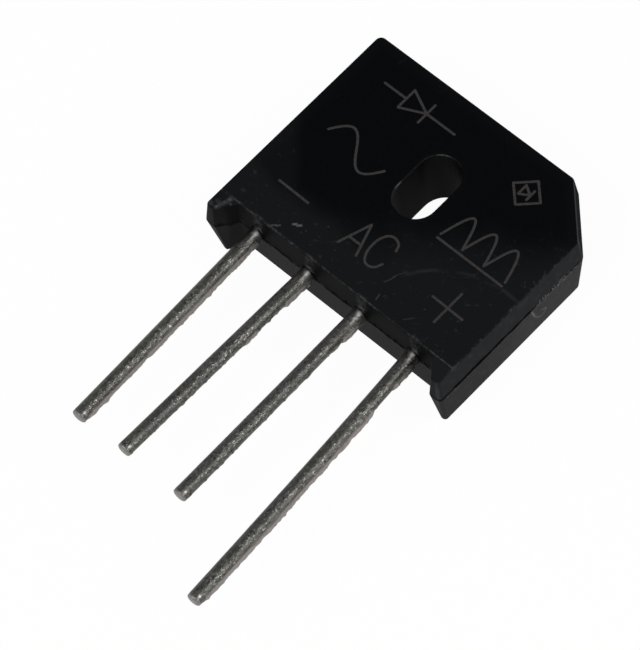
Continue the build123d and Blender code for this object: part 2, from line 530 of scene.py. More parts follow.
    def _gleam(self, g: Graph, at: Spot, polished: Field, cut: Field) -> Field:
        """How polished a side is.

        Args:
            g: The material.
            at: The point of the surface.
            polished: Where the mould's walls slid along.
            cut: Where the cut corner is.

        Returns:
            From 0 to 1: fully where the mould slid, half at the feet's ends, hardly at all on the cut
            corner, and less on the back half of the sides towards the feet.
        """
        tips = 0.55 * g.smooth(at.y, -10.5, -10.9)
        front = 0.04 * g.smooth(at.z, PARTING_LEVEL, PARTING_LEVEL + 0.1) * g.smooth(at.y, -9.4, -9.6)
        foot_end = g.smooth(at.y, -2.0, -7.0) * g.smooth(at.z, PARTING_LEVEL + 0.1, PARTING_LEVEL - 0.1)
        return g.most(polished, tips + front) * (1.0 - 0.97 * cut) * (1.0 - 0.45 * foot_end)

    def _by_leads(self, g: Graph, at: Spot) -> Field:
        """Where the wall is that the leads leave by, from 0 to 1."""
        return g.smooth(at.y, -9.3, -9.6) * g.smooth(abs(at.x), 10.6, 10.3)

    def _seam(self, g: Graph, at: Spot) -> tuple[Field, Field]:
        """Dark jagged line where the mould's halves met, and the pale beads of flash along it.

        On the plus side the line is heavy towards the foot and breaks up into beads further along. On the
        wall by the leads it swings up and down and is thick in places, and on the feet it is thin and faint.

        Args:
            g: The material.
            at: The point of the surface.

        Returns:
            The line and the beads, each from 0 to 1.
        """
        where = at.where
        jag = 0.12 * (g.noise(where, 1.6, 3.0) - 0.5) + 0.20 * (g.noise(where, 5.0, 3.0, 0.7) - 0.5)
        away = at.z - PARTING_LEVEL + jag
        plus_side = g.smooth(at.x, 10.5, 11.0)
        heavy = plus_side * g.smooth(at.y, -1.6, -3.6)
        light = plus_side * g.smooth(at.y, -2.2, -0.8)
        by_leads = self._by_leads(g, at)
        on_feet = g.smooth(at.y, -9.9, -10.2)
        thick = 0.10 + 0.10 * g.smooth(g.noise(where, 0.8, 2.0), 0.4, 0.6) + 0.03 * heavy
        thick = thick + by_leads * (0.28 * g.smooth(g.noise(where, 1.5, 4.0, 0.65), 0.45, 0.68) - 0.04)
        dots = g.smooth(g.noise(where, 3.5, 3.0, 0.7), 0.53, 0.44)
        swing = by_leads * (0.75 * (g.noise(where, 1.1, 3.0) - 0.5) + 0.06)
        line = g.smooth(abs(away + swing) - thick + 0.05 * on_feet, 0.04, -0.02)
        line = line * (1.0 - light * (0.15 + 0.75 * dots)) * (1.0 - 0.35 * on_feet)
        crumbs = g.smooth(g.noise(where, 4.5, 4.0, 0.7) + 0.02 * light, 0.53, 0.62)
        below = g.smooth(abs(away + 0.26), 0.16, 0.05) * g.smooth(g.noise(where, 0.45), 0.42, 0.52)
        over = g.smooth(abs(away), 0.34, 0.10) * light * g.smooth(at.y, 2.4, 1.0)
        return line, crumbs * g.least(0.85 * below + over, 1.0)

    def _scuffs(self, g: Graph, at: Spot) -> Field:
        """Short fine scratches: thin borders between stretched cells, broken up by noise.

        Args:
            g: The material.
            at: The point of the surface.

        Returns:
            How strong the scratches are, from 0 to a little over 1 where they cross.
        """
        total: Input = 0.0
        for turn, scale, sparse in ((0.5, 0.55, 0.54), (-0.9, 0.4, 0.58), (1.5, 0.7, 0.60)):
            along = at.x * cos(turn) + at.y * sin(turn)
            across = at.y * cos(turn) - at.x * sin(turn) + 0.5 * g.noise(at.where, 0.7)
            border = g.cells(g.combine(along * 0.22, across, turn), scale * 2.0, CellPart.BORDER)
            broken = g.smooth(g.noise(at.where, 0.9 + scale, 4.0), sparse, sparse + 0.12)
            total = total + g.smooth(border, 0.035, 0.0) * broken
        return 0.6 * total

    def _specks(self, g: Graph, at: Spot) -> Field:
        """Tiny pale crumbs and finer dust.

        Args:
            g: The material.
            at: The point of the surface.

        Returns:
            How strong they are, from 0 to under 1: the middles of a few scattered cells.
        """
        crumbs = g.smooth(g.cells(at.where, 2.2), 0.08, 0.03) * g.smooth(g.noise(at.where, 0.8), 0.52, 0.62)
        dust = g.smooth(g.cells(at.where, 5.0), 0.10, 0.03) * g.smooth(g.noise(at.where, 1.7), 0.5, 0.64)
        return 0.42 * crumbs + 0.34 * dust

    def _flecks(self, g: Graph, at: Spot) -> Field:
        """The larger crumbs, each a ragged spot, and the rubbed lines, each fading from its middle line.

        Args:
            g: The material.
            at: The point of the surface.

        Returns:
            How strong they are, from 0 up.
        """
        grain = g.noise(at.where, 6.5, 4.0, 0.75)
        ragged = 0.36 * (grain - 0.5)
        total: Input = 0.0
        for fleck in self.flecks:
            offset = (at.where - (fleck.x, fleck.y, fleck.z)) * (1.0, 1.6, 1.0)
            total = total + fleck.strength * g.smooth(g.reach(offset) + ragged, fleck.size, fleck.size * 0.2)
        for scratch in self.scratches:
            points = [Vector(point) for point in scratch.points]
            away = reduce(g.least, [self._distance(g, at, *ends) for ends in zip(points, points[1:])])
            faded = g.smooth(away + 0.4 * ragged, scratch.width, scratch.width * 0.1)
            total = total + scratch.strength * faded
        return total * (0.45 + 0.55 * g.smooth(grain, 0.42, 0.58))

    def _distance(self, g: Graph, at: Spot, start: Vector, stop: Vector) -> Field:
        """How far a point is from a straight piece, whose nearest point is start + way·share.

        Args:
            g: The material.
            at: The point of the surface.
            start: Where the piece starts.
            stop: Where it stops.

        Returns:
            The distance, with the share (offset·way) / (way·way) held from 0 to 1.
        """
        way = stop - start
        offset = at.where - tuple(start)
        sockets = {0: offset, 1: tuple(way)}
        along = g.node("ShaderNodeVectorMath", {"operation": "DOT_PRODUCT"}, sockets, "Value")
        share = g.least(g.most(along * (1.0 / way.length_squared), 0.0), 1.0)
        return g.reach(offset - g.combine(share * way.x, share * way.y, share * way.z))

    def _off(self, g: Graph, at: Spot, middle: Point2, squeeze: float = 1.0) -> Field:
        """How far off a middle a point is, seen from above, with its way along Y squeezed."""
        return g.reach(g.combine(at.x - middle[0], (at.y - middle[1]) * squeeze, 0.0))

    def _ring(self, g: Graph, at: Spot) -> Field:
        """A faint ring that something round has left, over the plus corner of the face.

        Args:
            g: The material.
            at: The point of the surface.

        Returns:
            How strong it is, from 0 to 0.4.
        """
        away = self._off(g, at, self.ring_middle) - self.ring_radius - 0.25 * g.noise(at.where, 0.5)
        broken = g.smooth(g.noise(at.where, 0.7, 3.0), 0.38, 0.62)
        return 0.4 * g.smooth(abs(away), 0.22, 0.03) * broken * g.smooth(at.x, 2.4, 4.0)

    def _rim_highlights(self, g: Graph, at: Spot) -> Field:
        """Painted highlights along the rounded rims of the marked face: by the leads, far, right and cut,
        and parts of the slot's edge, with two glints there.

        Args:
            g: The material.
            at: The point of the surface.

        Returns:
            How strong the painted highlight is, from 0 up.
        """
        high = g.smooth(at.z, FACE_LEVEL - 0.13, FACE_LEVEL - 0.08)
        grain = g.smooth(g.noise(at.where, 4.0, 4.0, 0.7), 0.36, 0.62)
        broken = g.smooth(g.noise(at.where, 0.9, 3.0), 0.36, 0.62)
        patchy = g.smooth(g.noise(at.where, 1.6, 5.0, 0.75), 0.46, 0.68)
        wide = 0.10 + 0.06 * g.smooth(at.x, 3.0, -5.0)
        by_leads = g.smooth(abs(at.y - RIM_LEADS), wide, 0.01) * (0.10 + 0.40 * broken) * grain
        far = 0.14 * g.smooth(abs(at.y - RIM_FAR), 0.08, 0.02) * grain
        right = 0.42 * g.smooth(abs(at.x - RIM_SIDE), 0.16, 0.02) * patchy
        cut = 0.55 * g.smooth(abs((at.x + at.y) * DIAGONAL - RIM_CUT), 0.07, 0.02)
        far_lit = 0.55 * g.smooth(self._off(g, at, self.far_glint), 0.75, 0.2)
        left_lit = g.smooth(self._off(g, at, self.left_glint, 0.8), 0.42, 0.1)
        slot = g.smooth(abs(at.to_slot - 0.04), 0.055, 0.02) * (0.16 + far_lit + left_lit)
        slot = slot * g.smooth(at.y, -1.75, -1.45) * g.smooth(at.x, 1.2, 0.2) * (0.4 + 0.6 * grain)
        return high * (by_leads + far + right + cut + slot)

    def _crescent_sheen(self, g: Graph, at: Spot) -> Field:
        """Painted sheen on the slot's edge, at its end towards the minus lead, where the rim's bevel catches
        the light.

        Args:
            g: The material.
            at: The point of the surface.

        Returns:
            How strong it is, from 0 to 1.
        """
        high = g.smooth(at.z, FACE_LEVEL - 0.42, FACE_LEVEL - 0.26)
        rim = g.smooth(at.to_slot, 0.13, 0.08)
        near = g.smooth(self._off(g, at, self.crescent_middle, 0.8), 1.0, 0.55)
        return high * rim * near * g.smooth(g.noise(at.where, 1.5, 3.0), 0.2, 0.45)

    def _lead_reflections(self, g: Graph, at: Spot) -> Field:
        """A pale patch on each lead's exit, painted as the reflection of the lead, and a fainter smear from
        there to the rim.

        Args:
            g: The material.
            at: The point of the surface.

        Returns:
            How strong it is, from 0 to 0.95.
        """
        wobble = 0.5 * (g.noise(at.where, 1.6) - 0.5)
        near_exit = g.smooth(at.z, PARTING_LEVEL + 1.35, PARTING_LEVEL + 0.85)
        total: Input = 0.0
        for place in LEAD_PLACES:
            across = abs(at.x - (place + 0.20) - wobble)
            patch = g.smooth(across, 0.45, 0.12) * near_exit
            total = total + g.most(patch, 0.35 * g.smooth(across, 0.62, 0.15))
        level = g.smooth(at.z, PARTING_LEVEL + 0.50, PARTING_LEVEL + 0.66)
        broken = g.smooth(g.noise(at.where, 3.2, 5.0, 0.7), 0.38, 0.60)
        return 0.95 * total * level * g.smooth(at.y, -9.45, -9.65) * broken


@dataclass(frozen=True)
class BurntMarkFinish:
    """Grey of marks that a laser has burnt into black epoxy."""

    name: str = "burnt_mark"
    pale: Colour = (0.0400, 0.0380, 0.0365)
    dark: Colour = (0.0250, 0.0240, 0.0230)
    depth: float = 0.01
    gloss: float = 0.1

    def material(self) -> bpy.types.Material:
        """Builds the material.

        Returns:
            A material with a fine mottle that reads the place on the object.
        """
        g = Graph(self.name)
        mottle = g.noise(g.place(), 5.0, 4.0, 0.6)
        colour = g.lay(self.dark, self.pale, g.smooth(mottle, 0.3, 0.62))
        return g.finish(
            Base_Color=colour, Roughness=0.75 + 0.15 * mottle, Normal=g.relief(mottle, self.depth),
            Specular_IOR_Level=self.gloss,
        )


@dataclass(frozen=True)
class TinnedFinish:
    """Dull solder on copper wire: grey, sown with fine glints, with a browner ridge and pale ends."""

    name: str = "dipped_solder"
    dark: Colour = (0.078, 0.078, 0.072)
    middle: Colour = (0.135, 0.133, 0.124)
    black: Colour = (0.014, 0.014, 0.012)
    # painted shade in the creases along the film and round the tip
    painted_crease_shade: Colour = (0.040, 0.033, 0.029)
    glint: Colour = (0.85, 0.84, 0.80)
    ridge: Colour = (0.300, 0.276, 0.262)
    tip: Colour = (0.27, 0.255, 0.245)
    # painted glints at each lead's root and near its tip
    root: Colour = (0.95, 0.95, 0.93)
    depth: float = 0.030
    gloss: float = 0.25

    def material(self) -> bpy.types.Material:
        """Builds the material.

        Returns:
            A material that reads the place on the object and the layers of the wire's mesh.
        """
        g = Graph(self.name)
        where = g.place()
        film = g.layer("film")
        sunny = g.layer("sunny")
        streak = g.noise(where * (2.6, 1.1, 2.6), 1.0, 4.0, 0.6)
        fine = g.noise(where * (1.2, 0.8, 1.2), 5.5, 4.0, 0.7)
        flaws = g.noise(where * (1.3, 0.6, 1.3), 4.0, 4.0, 0.7)
        sown = g.smooth(g.noise(where * (2.0, 1.0, 2.0), 0.8, 3.0), 0.40, 0.60)
        shade = 1.0 - g.smooth(film, 0.3, 0.7)
        spark = g.smooth(fine, 0.53, 0.66) * (0.35 + 0.65 * sown)
        spark = spark * (0.10 + 0.90 * sunny) * (0.25 + 0.75 * shade)
        colour = g.coats(
            self.dark,
            (self.middle, g.least(0.5 * g.smooth(streak, 0.35, 0.65) + 0.2 * sunny, 1.0)),
            (self.ridge, 0.85 * g.smooth(film, 0.25, 0.7)),
            (self.black, 0.70 * g.smooth(flaws, 0.47, 0.36) * (0.35 + 0.65 * shade)),
            (self.glint, 0.60 * spark),
            # painted shade in the creases along the film and round the tip
            (self.painted_crease_shade, 0.6 * g.layer("groove")),
            (self.tip, 0.8 * g.layer("tip") * g.smooth(fine, 0.3, 0.6, 0.5, 1.0)),
            # painted glints at each lead's root and near its tip
            (self.root, g.layer("root")),
        )
        return g.finish(
            Base_Color=colour, Roughness=0.33 + 0.20 * fine + 0.12 * film, Metallic=1.0 - 0.45 * film,
            Normal=g.relief(fine, self.depth), Specular_IOR_Level=self.gloss,
        )


@dataclass(frozen=True)
class InnerFinish:
    """Plain finish of a piece sealed in the moulding, with a fine mottle."""

    name: str
    low: Colour
    high: Colour
    metallic: float
    rough: float
    scale: float = 2.5
    depth: float = 0.004

    def material(self) -> bpy.types.Material:
        """Builds the material.

        Returns:
            A material with a fine mottle that reads the place on the object.
        """
        g = Graph(self.name)
        where = g.place()
        mottle = g.noise(where, self.scale, 4.0)
        grain = g.noise(where, self.scale * 6.0, 3.0)
        colour = g.lay(self.low, self.high, g.smooth(mottle, 0.3, 0.7))
        return g.finish(
            Base_Color=colour, Roughness=self.rough + 0.15 * grain, Metallic=self.metallic,
            Normal=g.relief(grain, self.depth),
        )


def solid(
    name: str, points: np.ndarray, faces: Sequence[np.ndarray],
    layers: Mapping[str, np.ndarray] | None = None,
) -> bpy.types.Object:
    """Object with one closed smooth surface.

    Its faces are turned so that the enclosed volume, the sum of a·(b×c)/6 over triangles, is positive.

    Args:
        name: The object's name.
        points: Points in millimetres.
        faces: Arrays of faces, each with as many point numbers in a row as its faces have corners.
        layers: Numbers per point that the mesh carries, by name.

    Returns:
        The new object, at the origin.
    """
    fans = [part[:, [0, i, i + 1]] for part in faces for i in range(1, part.shape[1] - 1)]
    corner = points[np.vstack(fans)]
    volume = np.einsum("ij,ij->i", corner[:, 0], np.cross(corner[:, 1], corner[:, 2])).sum()
    if volume < 0:
        faces = [part[:, ::-1] for part in faces]
    mesh = bpy.data.meshes.new(name)
    mesh.from_pydata((points * MM).tolist(), [], [face for part in faces for face in part.tolist()])
    mesh.polygons.foreach_set("use_smooth", np.ones(len(mesh.polygons), bool))
    for key, values in (layers or {}).items():
        mesh.attributes.new(key, "FLOAT", "POINT").data.foreach_set("value", values.astype(np.float32))
    mesh.update()
    made = bpy.data.objects.new(name, mesh)
    bpy.context.scene.collection.objects.link(made)
    return made


def shell(name: str, rings: np.ndarray, layers: Mapping[str, np.ndarray] | None = None) -> bpy.types.Object:
    """Closed surface through a row of rings.

    Point (i, j) of the grid is the j-th point of the i-th ring. Each cell between neighbouring rings
    becomes a face, the last point of a ring joins its first, and a fan to the middle of the first and last
    ring closes the ends.

    Args:
        name: The object's name.
        rings: Grid of points in millimetres, shaped rings by points by 3.
        layers: Numbers per grid point that the mesh carries, by name.

    Returns:
        The new object.
    """
    count, around = rings.shape[:2]
    points = np.vstack([rings.reshape(-1, 3), rings[0].mean(0), rings[-1].mean(0)])
    i, j = np.meshgrid(np.arange(count - 1), np.arange(around), indexing="ij")
    a, b = i * around + j, i * around + (j + 1) % around
    quads = np.stack([a, b, b + around, a + around], -1).reshape(-1, 4)
    j = np.arange(around)
    after = (j + 1) % around
    last_ring = (count - 1) * around
    first = np.stack([after, j, np.full(around, count * around)], -1)
    last = np.stack([j + last_ring, after + last_ring, np.full(around, count * around + 1)], -1)
    flat = {
        key: np.concatenate([values.reshape(-1), [values[0].mean(), values[-1].mean()]])
        for key, values in (layers or {}).items()
    }
    return solid(name, points, [quads, first, last], flat)


def torus(name: str, grid: np.ndarray) -> bpy.types.Object:
    """Closed surface whose rows and columns both join their own ends.

    Args:
        name: The object's name.
        grid: Points in millimetres, shaped rows by columns by 3.

    Returns:
        The new object.
    """
    rows, columns = grid.shape[:2]
    i, j = np.meshgrid(np.arange(rows), np.arange(columns), indexing="ij")
    k, m = (i + 1) % rows, (j + 1) % columns
    quads = np.stack([i * columns + j, i * columns + m, k * columns + m, k * columns + j], -1)
    return solid(name, grid.reshape(-1, 3), [quads.reshape(-1, 4)])


def bell(values: np.ndarray, middle: float, width: float) -> np.ndarray:
    """Bell curve exp(-((value - middle) / width)²)."""
    return np.exp(-(((values - middle) / width) ** 2))


def turned(angles: np.ndarray, middle: np.ndarray | float) -> np.ndarray:
    """Angles counted from a middle one, from minus to plus half a turn, in radians."""
    return np.angle(np.exp(1j * (angles - middle)))


def joined(name: str, parts: Sequence[bpy.types.Object]) -> bpy.types.Object:
    """Joins separate closed surfaces into one object.

    Args:
        name: The joined object's name.
        parts: The objects, which are used up.

    Returns:
        The joined object.
    """
    with bpy.context.temp_override(active_object=parts[0], selected_editable_objects=list(parts)):
        bpy.ops.object.join()
    parts[0].name = name
    parts[0].data.name = name
    return parts[0]


def dress(piece: bpy.types.Object, material: bpy.types.Material) -> None:
    """Gives a piece one material all over."""
    piece.data.materials.clear()
    piece.data.materials.append(material)


# Steps between two points of a curved stroke, and points on each rounded end of its ribbon
CURVE_STEPS = 24
CAP_POINTS = 5


@dataclass
class Stroke:
    """One stroke of a mark: a smooth or broken line on the marked face."""

    points: Sequence[Point2]
    curved: bool = False

    def line(self, spacing: float) -> np.ndarray:
        """Points along the stroke, evenly spaced.

        A curved stroke is a smooth line through its points: between p1 and p2 it is half of
        2·p1 + (p2-p0)·t + (2·p0-5·p1+4·p2-p3)·t² + (3·p1-p0-3·p2+p3)·t³.

        Args:
            spacing: Distance between points.

        Returns:
            An array of points, shaped points by 2.
        """
        way = np.array(self.points, float)
        if self.curved:
            p = np.vstack([2 * way[0] - way[1], way, 2 * way[-1] - way[-2]])
            t = np.linspace(0, 1, CURVE_STEPS, endpoint=False)[:, None, None]
            p0, p1, p2, p3 = p[:-3], p[1:-2], p[2:-1], p[3:]
            bend = (2 * p0 - 5 * p1 + 4 * p2 - p3) * t**2 + (3 * p1 - p0 - 3 * p2 + p3) * t**3
            curve = (2 * p1 + (p2 - p0) * t + bend) / 2
            way = np.vstack([curve.transpose(1, 0, 2).reshape(-1, 2), way[-1:]])
        along = np.concatenate([[0], np.cumsum(np.linalg.norm(np.diff(way, axis=0), axis=1))])
        even = np.linspace(0, along[-1], max(int(along[-1] / spacing), 6))
        return np.stack([np.interp(even, along, way[:, k]) for k in (0, 1)], -1)


@dataclass
class BurntMarks:
    """Marks burnt into the marked face, each a flat ribbon of burnt epoxy let into it."""

    width: float = 0.20
    bed: float = 0.010
    crown: float = 0.003
    spacing: float = 0.05
    finish: BurntMarkFinish = field(default_factory=BurntMarkFinish)

    def ribbon(self, name: str, stroke: Stroke) -> bpy.types.Object:
        """Ribbon along a stroke.

        Point (t, s) is line(t) + s·half width·normal(t), lifted by crown·(1-s²) on top and dropped to the
        bed below. The half width falls off as the root of 1-(1-d/w)² within w of each end, to round it.

        Args:
            name: The ribbon's name.
            stroke: The line that it follows.

        Returns:
            The ribbon.
        """
        half = self.width / 2
        line = stroke.line(self.spacing)
        ahead = np.gradient(line, axis=0)
        ahead /= np.linalg.norm(ahead, axis=1, keepdims=True)
        cap = half * (1 - np.cos(np.linspace(0, pi / 2, CAP_POINTS + 1)[1:]))
        start = line[0] - ahead[0] * (half - cap)[:, None]
        stop = line[-1] + ahead[-1] * (half - cap[::-1])[:, None]
        line = np.vstack([start, line[1:-1], stop])
        first, last = np.repeat(ahead[:1], CAP_POINTS, 0), np.repeat(ahead[-1:], CAP_POINTS, 0)
        ahead = np.vstack([first, ahead[1:-1], last])
        normal = np.stack([-ahead[:, 1], ahead[:, 0]], -1)
        grow = np.sqrt(np.clip(1 - (1 - cap / half) ** 2, 0, 1))
        widths = half * np.concatenate([grow, np.ones(len(line) - 2 * CAP_POINTS), grow[::-1]])
        top = np.array([-1.0, -0.5, 0.0, 0.5, 1.0])
        bottom = np.array([1.0, 0.0, -1.0])
        across = np.concatenate([top, bottom])
        height = np.concatenate([self.crown * (1 - top**2), np.full(len(bottom), -self.bed)])
        flat = line[:, None, :] + normal[:, None, :] * (widths[:, None] * across)[..., None]
        level = np.broadcast_to(FACE_LEVEL + height, flat.shape[:2])
        return shell(name, np.concatenate([flat, level[..., None]], -1))

    def mark(self, name: str, strokes: Sequence[Stroke], material: bpy.types.Material) -> bpy.types.Object:
        """Makes one mark.

        Args:
            name: Its name.
            strokes: The strokes that it is made of.
            material: Its finish.

        Returns:
            The mark, on the root body.
        """
        ribbons = [self.ribbon(f"{name}_{i}", stroke) for i, stroke in enumerate(strokes)]
        made = joined(name, ribbons) if len(ribbons) > 1 else ribbons[0]
        made.name = name
        dress(made, material)
        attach(made, "root")
        return made

    def polarity(self) -> dict[str, list[Stroke]]:
        """Strokes of the marks beside the leads.

        Returns:
            The minus, the letters for alternating current and the plus, by name.
        """
        return {
            "mark_minus": [Stroke([(-8.55, -6.48), (-5.66, -6.52)])],
            "mark_ac": [
                Stroke([(-1.84, -7.46), (-0.93, -4.87), (-0.08, -7.47)]),
                Stroke([(-1.54, -6.62), (-0.35, -6.62)]),
                Stroke([
                    (1.86, -5.36), (1.66, -4.86), (1.12, -4.62), (0.62, -4.80), (0.30, -5.36), (0.22, -6.10),
                    (0.34, -6.86), (0.72, -7.40), (1.18, -7.50), (1.60, -7.26), (1.84, -6.76),
                ], curved=True),
            ],
            "mark_plus": [Stroke([(6.33, -6.36), (9.19, -6.42)]), Stroke([(7.78, -4.90), (7.78, -7.82)])],
        }

    def symbols(self) -> dict[str, list[Stroke]]:
        """Strokes of plain circuit symbols.

        Returns:
            A diode, a wave, a rectified wave, and a diode in a diamond that stands for a bridge, by name.
        """
        t = np.linspace(0, 1, 25)
        wave = [(-8.75 + 5.5 * k, -1.05 + 1.25 * sin(2 * pi * k)) for k in t]
        pitch = 2.05
        humps = [[(3.35 + pitch * (n + k), -2.25 + 2.45 * sin(pi * k)) for k in t] for n in range(3)]
        diamond = [(4.5, 4.2), (5.8, 5.45), (7.1, 4.2), (5.8, 2.95), (4.5, 4.2)]
        return {
            "symbol_diode": [
                Stroke([(-8.25, 4.45), (-6.15, 4.45)]),
                Stroke([(-6.15, 5.38), (-6.15, 3.52), (-4.15, 4.45), (-6.15, 5.38)]),
                Stroke([(-4.15, 5.38), (-4.15, 3.52)]),
                Stroke([(-4.15, 4.45), (-1.45, 4.45)]),
            ],
            "symbol_wave": [Stroke(wave, curved=True)],
            "symbol_rectified_wave": [
                *[Stroke(hump, curved=True) for hump in humps], Stroke([(3.35, -2.62), (9.5, -2.62)]),
            ],
            "symbol_bridge": [
                Stroke(diamond[:2]), Stroke(diamond[1:3]), Stroke(diamond[2:4]), Stroke(diamond[3:]),
                Stroke([(5.35, 4.65), (5.35, 3.75), (6.1, 4.2), (5.35, 4.65)]),
                Stroke([(6.15, 4.65), (6.15, 3.75)]),
            ],
        }

    def build(self) -> None:
        """Makes every mark and reports it."""
        material = self.finish.material()
        for name, strokes in {**self.polarity(), **self.symbols()}.items():
            made = self.mark(name, strokes, material)
            LOG.info("%s: %d faces", name, len(made.data.polygons))


@dataclass
class Lump:
    """A stretch of thick solder film on one side of a lead, in millimetres from the body."""

    start: float
    stop: float
    height: float
    angle: float = 114.0
    spread: float = 46.0

    def share(self, along: np.ndarray, fade: float) -> np.ndarray:
        """Share of the lump at each distance: 1 along it, and falling to 0 over the last bit at its ends."""
        return np.clip((along - self.start) / fade, 0, 1) * np.clip((self.stop - along) / fade, 0, 1)


@dataclass
class Lead:
    """One round lead with the uneven solder that it was dipped in."""

    name: str
    place: float
    lean: float
    length: float
    seed: int
    lumps: Sequence[Lump]
    bow: float = 0.0
    radius: float = 0.570
    inside: float = 0.3
    crumbs: int = 60
    rings: int = 460
    around: int = 120
    tip_length: float = 0.30
    tip_rings: int = 20
    streak_height: float = 0.0022
    grain_height: float = 0.0030
    groove_depth: float = 0.02
    wander: float = 0.012
    crumb_angle: float = 112.0
    light_angle: float = 38.0
    full_film: float = 0.12

    def _waves(
        self, rng: np.random.Generator, along: np.ndarray, turn: np.ndarray, count: int, pitch: float,
        lobes: tuple[int, int],
    ) -> np.ndarray:
        """Sum of cosines cos(k·along + m·turn + phase) with whole m, so that it closes round the wire.

        Args:
            rng: Source of the numbers.
            along: Distances from the body.
            turn: Angles round the wire.
            count: How many cosines.
            pitch: How much k strays from 0.
            lobes: The least m, and the first that is too large.

        Returns:
            The sum over the root of the count, shaped distances by angles.
        """
        k = rng.normal(0.0, pitch, count)[:, None, None]
        m = rng.integers(lobes[0], lobes[1], count)[:, None, None]
        phase = rng.uniform(0, 2 * pi, count)[:, None, None]
        total = np.cos(k * along[None, :, None] + m * turn[None, None, :] + phase).sum(0)
        return total / np.sqrt(count)

    def film(self, rng: np.random.Generator, along: np.ndarray, turn: np.ndarray) -> np.ndarray:
        """Height of the thick solder over the wire.

        Each lump is height·exp(-(angle/spread)⁶) round the wire, with sloping ends, an uneven height along
        it and knobs, and each crumb is a small bell exp(-(distance/size)²).

        Args:
            rng: Source of the unevenness.
            along: Distances from the body.
            turn: Angles round the wire, from the marked face's side towards plus X.

        Returns:
            Heights in millimetres, shaped distances by angles.
        """
        total = np.zeros((len(along), len(turn)))
        for lump in self.lumps:
            away = turned(turn, radians(lump.angle)) / radians(lump.spread)
            uneven = 0.85 + 0.16 * self._waves(rng, along, turn[:1], 14, 2.6, (0, 1))[:, 0]
            knobs = 0.15 * np.clip(self._waves(rng, along, turn, 24, 7.0, (0, 4)), -0.8, 2.0)
            ridge = lump.height * lump.share(along, 0.35) * np.clip(uneven, 0.3, 1.2)
            total += ridge[:, None] * np.exp(-(away**6)) * (1 + knobs)
        at = rng.uniform(0.4, self.length, self.crumbs)[:, None, None]
        angle = radians(self.crumb_angle) + rng.normal(0.0, 0.5, self.crumbs)[:, None, None]
        size = rng.uniform(0.06, 0.16, self.crumbs)[:, None, None]
        swing = turned(turn[None, None, :], angle) * self.radius
        bells = np.exp(-((along[None, :, None] - at) ** 2 + swing**2) / size**2)
        return total + (bells * size * 0.38).sum(0)

    def groove(self, along: np.ndarray, turn: np.ndarray) -> np.ndarray:
        """Crease along the upper edge of each lump: a shallow dent, which the material darkens with painted
        shade.

        Args:
            along: Distances from the body.
            turn: Angles round the wire.

        Returns:
            Its share from 0 to 1, shaped distances by angles: a bell of 6.5 degrees along each edge.
        """
        total = np.zeros((len(along), len(turn)))
        for lump in self.lumps:
            away = np.degrees(turned(turn, radians(lump.angle - lump.spread)))
            total += lump.share(along, 0.5)[:, None] * bell(away, 0.0, 6.5)
        return np.clip(total, 0, 1)

    def surface(self) -> tuple[np.ndarray, dict[str, np.ndarray]]:
        """Points of the wire's surface and the layers that its material reads.

        The profile runs along the wire at radius + film + fine waves. Over the tip it follows a rounded
        corner: length - tip + tip·sin(w)^0.5 and radius·cos(w)^0.42 for w from 0 to a right angle.

        Returns:
            Ring points in millimetres, and the layers.
        """
        rng = np.random.default_rng(self.seed)
        turn = np.linspace(0, 2 * pi, self.around, endpoint=False)
        run = self.length / cos(radians(self.lean))
        straight = np.linspace(-self.inside, run - self.tip_length, self.rings)
        corner = np.linspace(0, pi / 2, self.tip_rings + 2)[1:-1]
        along = np.concatenate([straight, run - self.tip_length + self.tip_length * np.sin(corner) ** 0.5])
        shrink = np.concatenate([np.ones(self.rings), np.cos(corner) ** 0.42])
        film = self.film(rng, along, turn)
        streaks = self.streak_height * self._waves(rng, along, turn, 40, 1.6, (2, 12))
        grain = self.grain_height * self._waves(rng, along, turn, 70, 20.0, (6, 30))
        # dark ring where the tip disc meets the wire: a small dent that takes painted shade
        tip_crease = bell(along, run - 0.27, 0.05)[:, None] * (0.55 + 0.45 * np.cos(turn - radians(20.0)))
        groove = np.clip(self.groove(along, turn) + 0.8 * tip_crease, 0, 1)
        radius = (self.radius + film + streaks + grain - self.groove_depth * groove) * shrink[:, None]
        return self._bent(along, turn, radius, run), self._layers(along, turn, film, groove, run)

    def _bent(self, along: np.ndarray, turn: np.ndarray, radius: np.ndarray, run: float) -> np.ndarray:
        """Rings round the wire's middle line, which leans, bows and wanders a little.

        Point (i, j) is middle(i) + radius(i, j)·(sin(turn)·side + cos(turn)·up).

        Args:
            along: Distances from the body.
            turn: Angles round the wire.
            radius: Its radius, shaped distances by angles.
            run: Its length along its lean.

        Returns:
            The points in millimetres, shaped distances by angles by 3.
        """
        wander = self.wander * np.sin(np.linspace(0, 3.0, len(along)) + self.seed)
        wander *= np.clip(along / 2, 0, 1) * np.clip((run - along) / 1.5, 0, 1)
        bow = wander + self.bow * np.sin(pi * np.clip(along / run, 0, 1) ** 0.75)
        ahead = np.array([tan(radians(self.lean)), -1.0, 0.0])
        ahead /= np.linalg.norm(ahead)
        side = np.array([-ahead[1], ahead[0], 0.0])
        up = np.array([0.0, 0.0, 1.0])
        root = np.array([self.place, LEAD_SIDE, PARTING_LEVEL])
        middle = root + along[:, None] * ahead + bow[:, None] * side
        spoke = np.sin(turn)[:, None] * side + np.cos(turn)[:, None] * up
        return middle[:, None, :] + radius[..., None] * spoke[None]

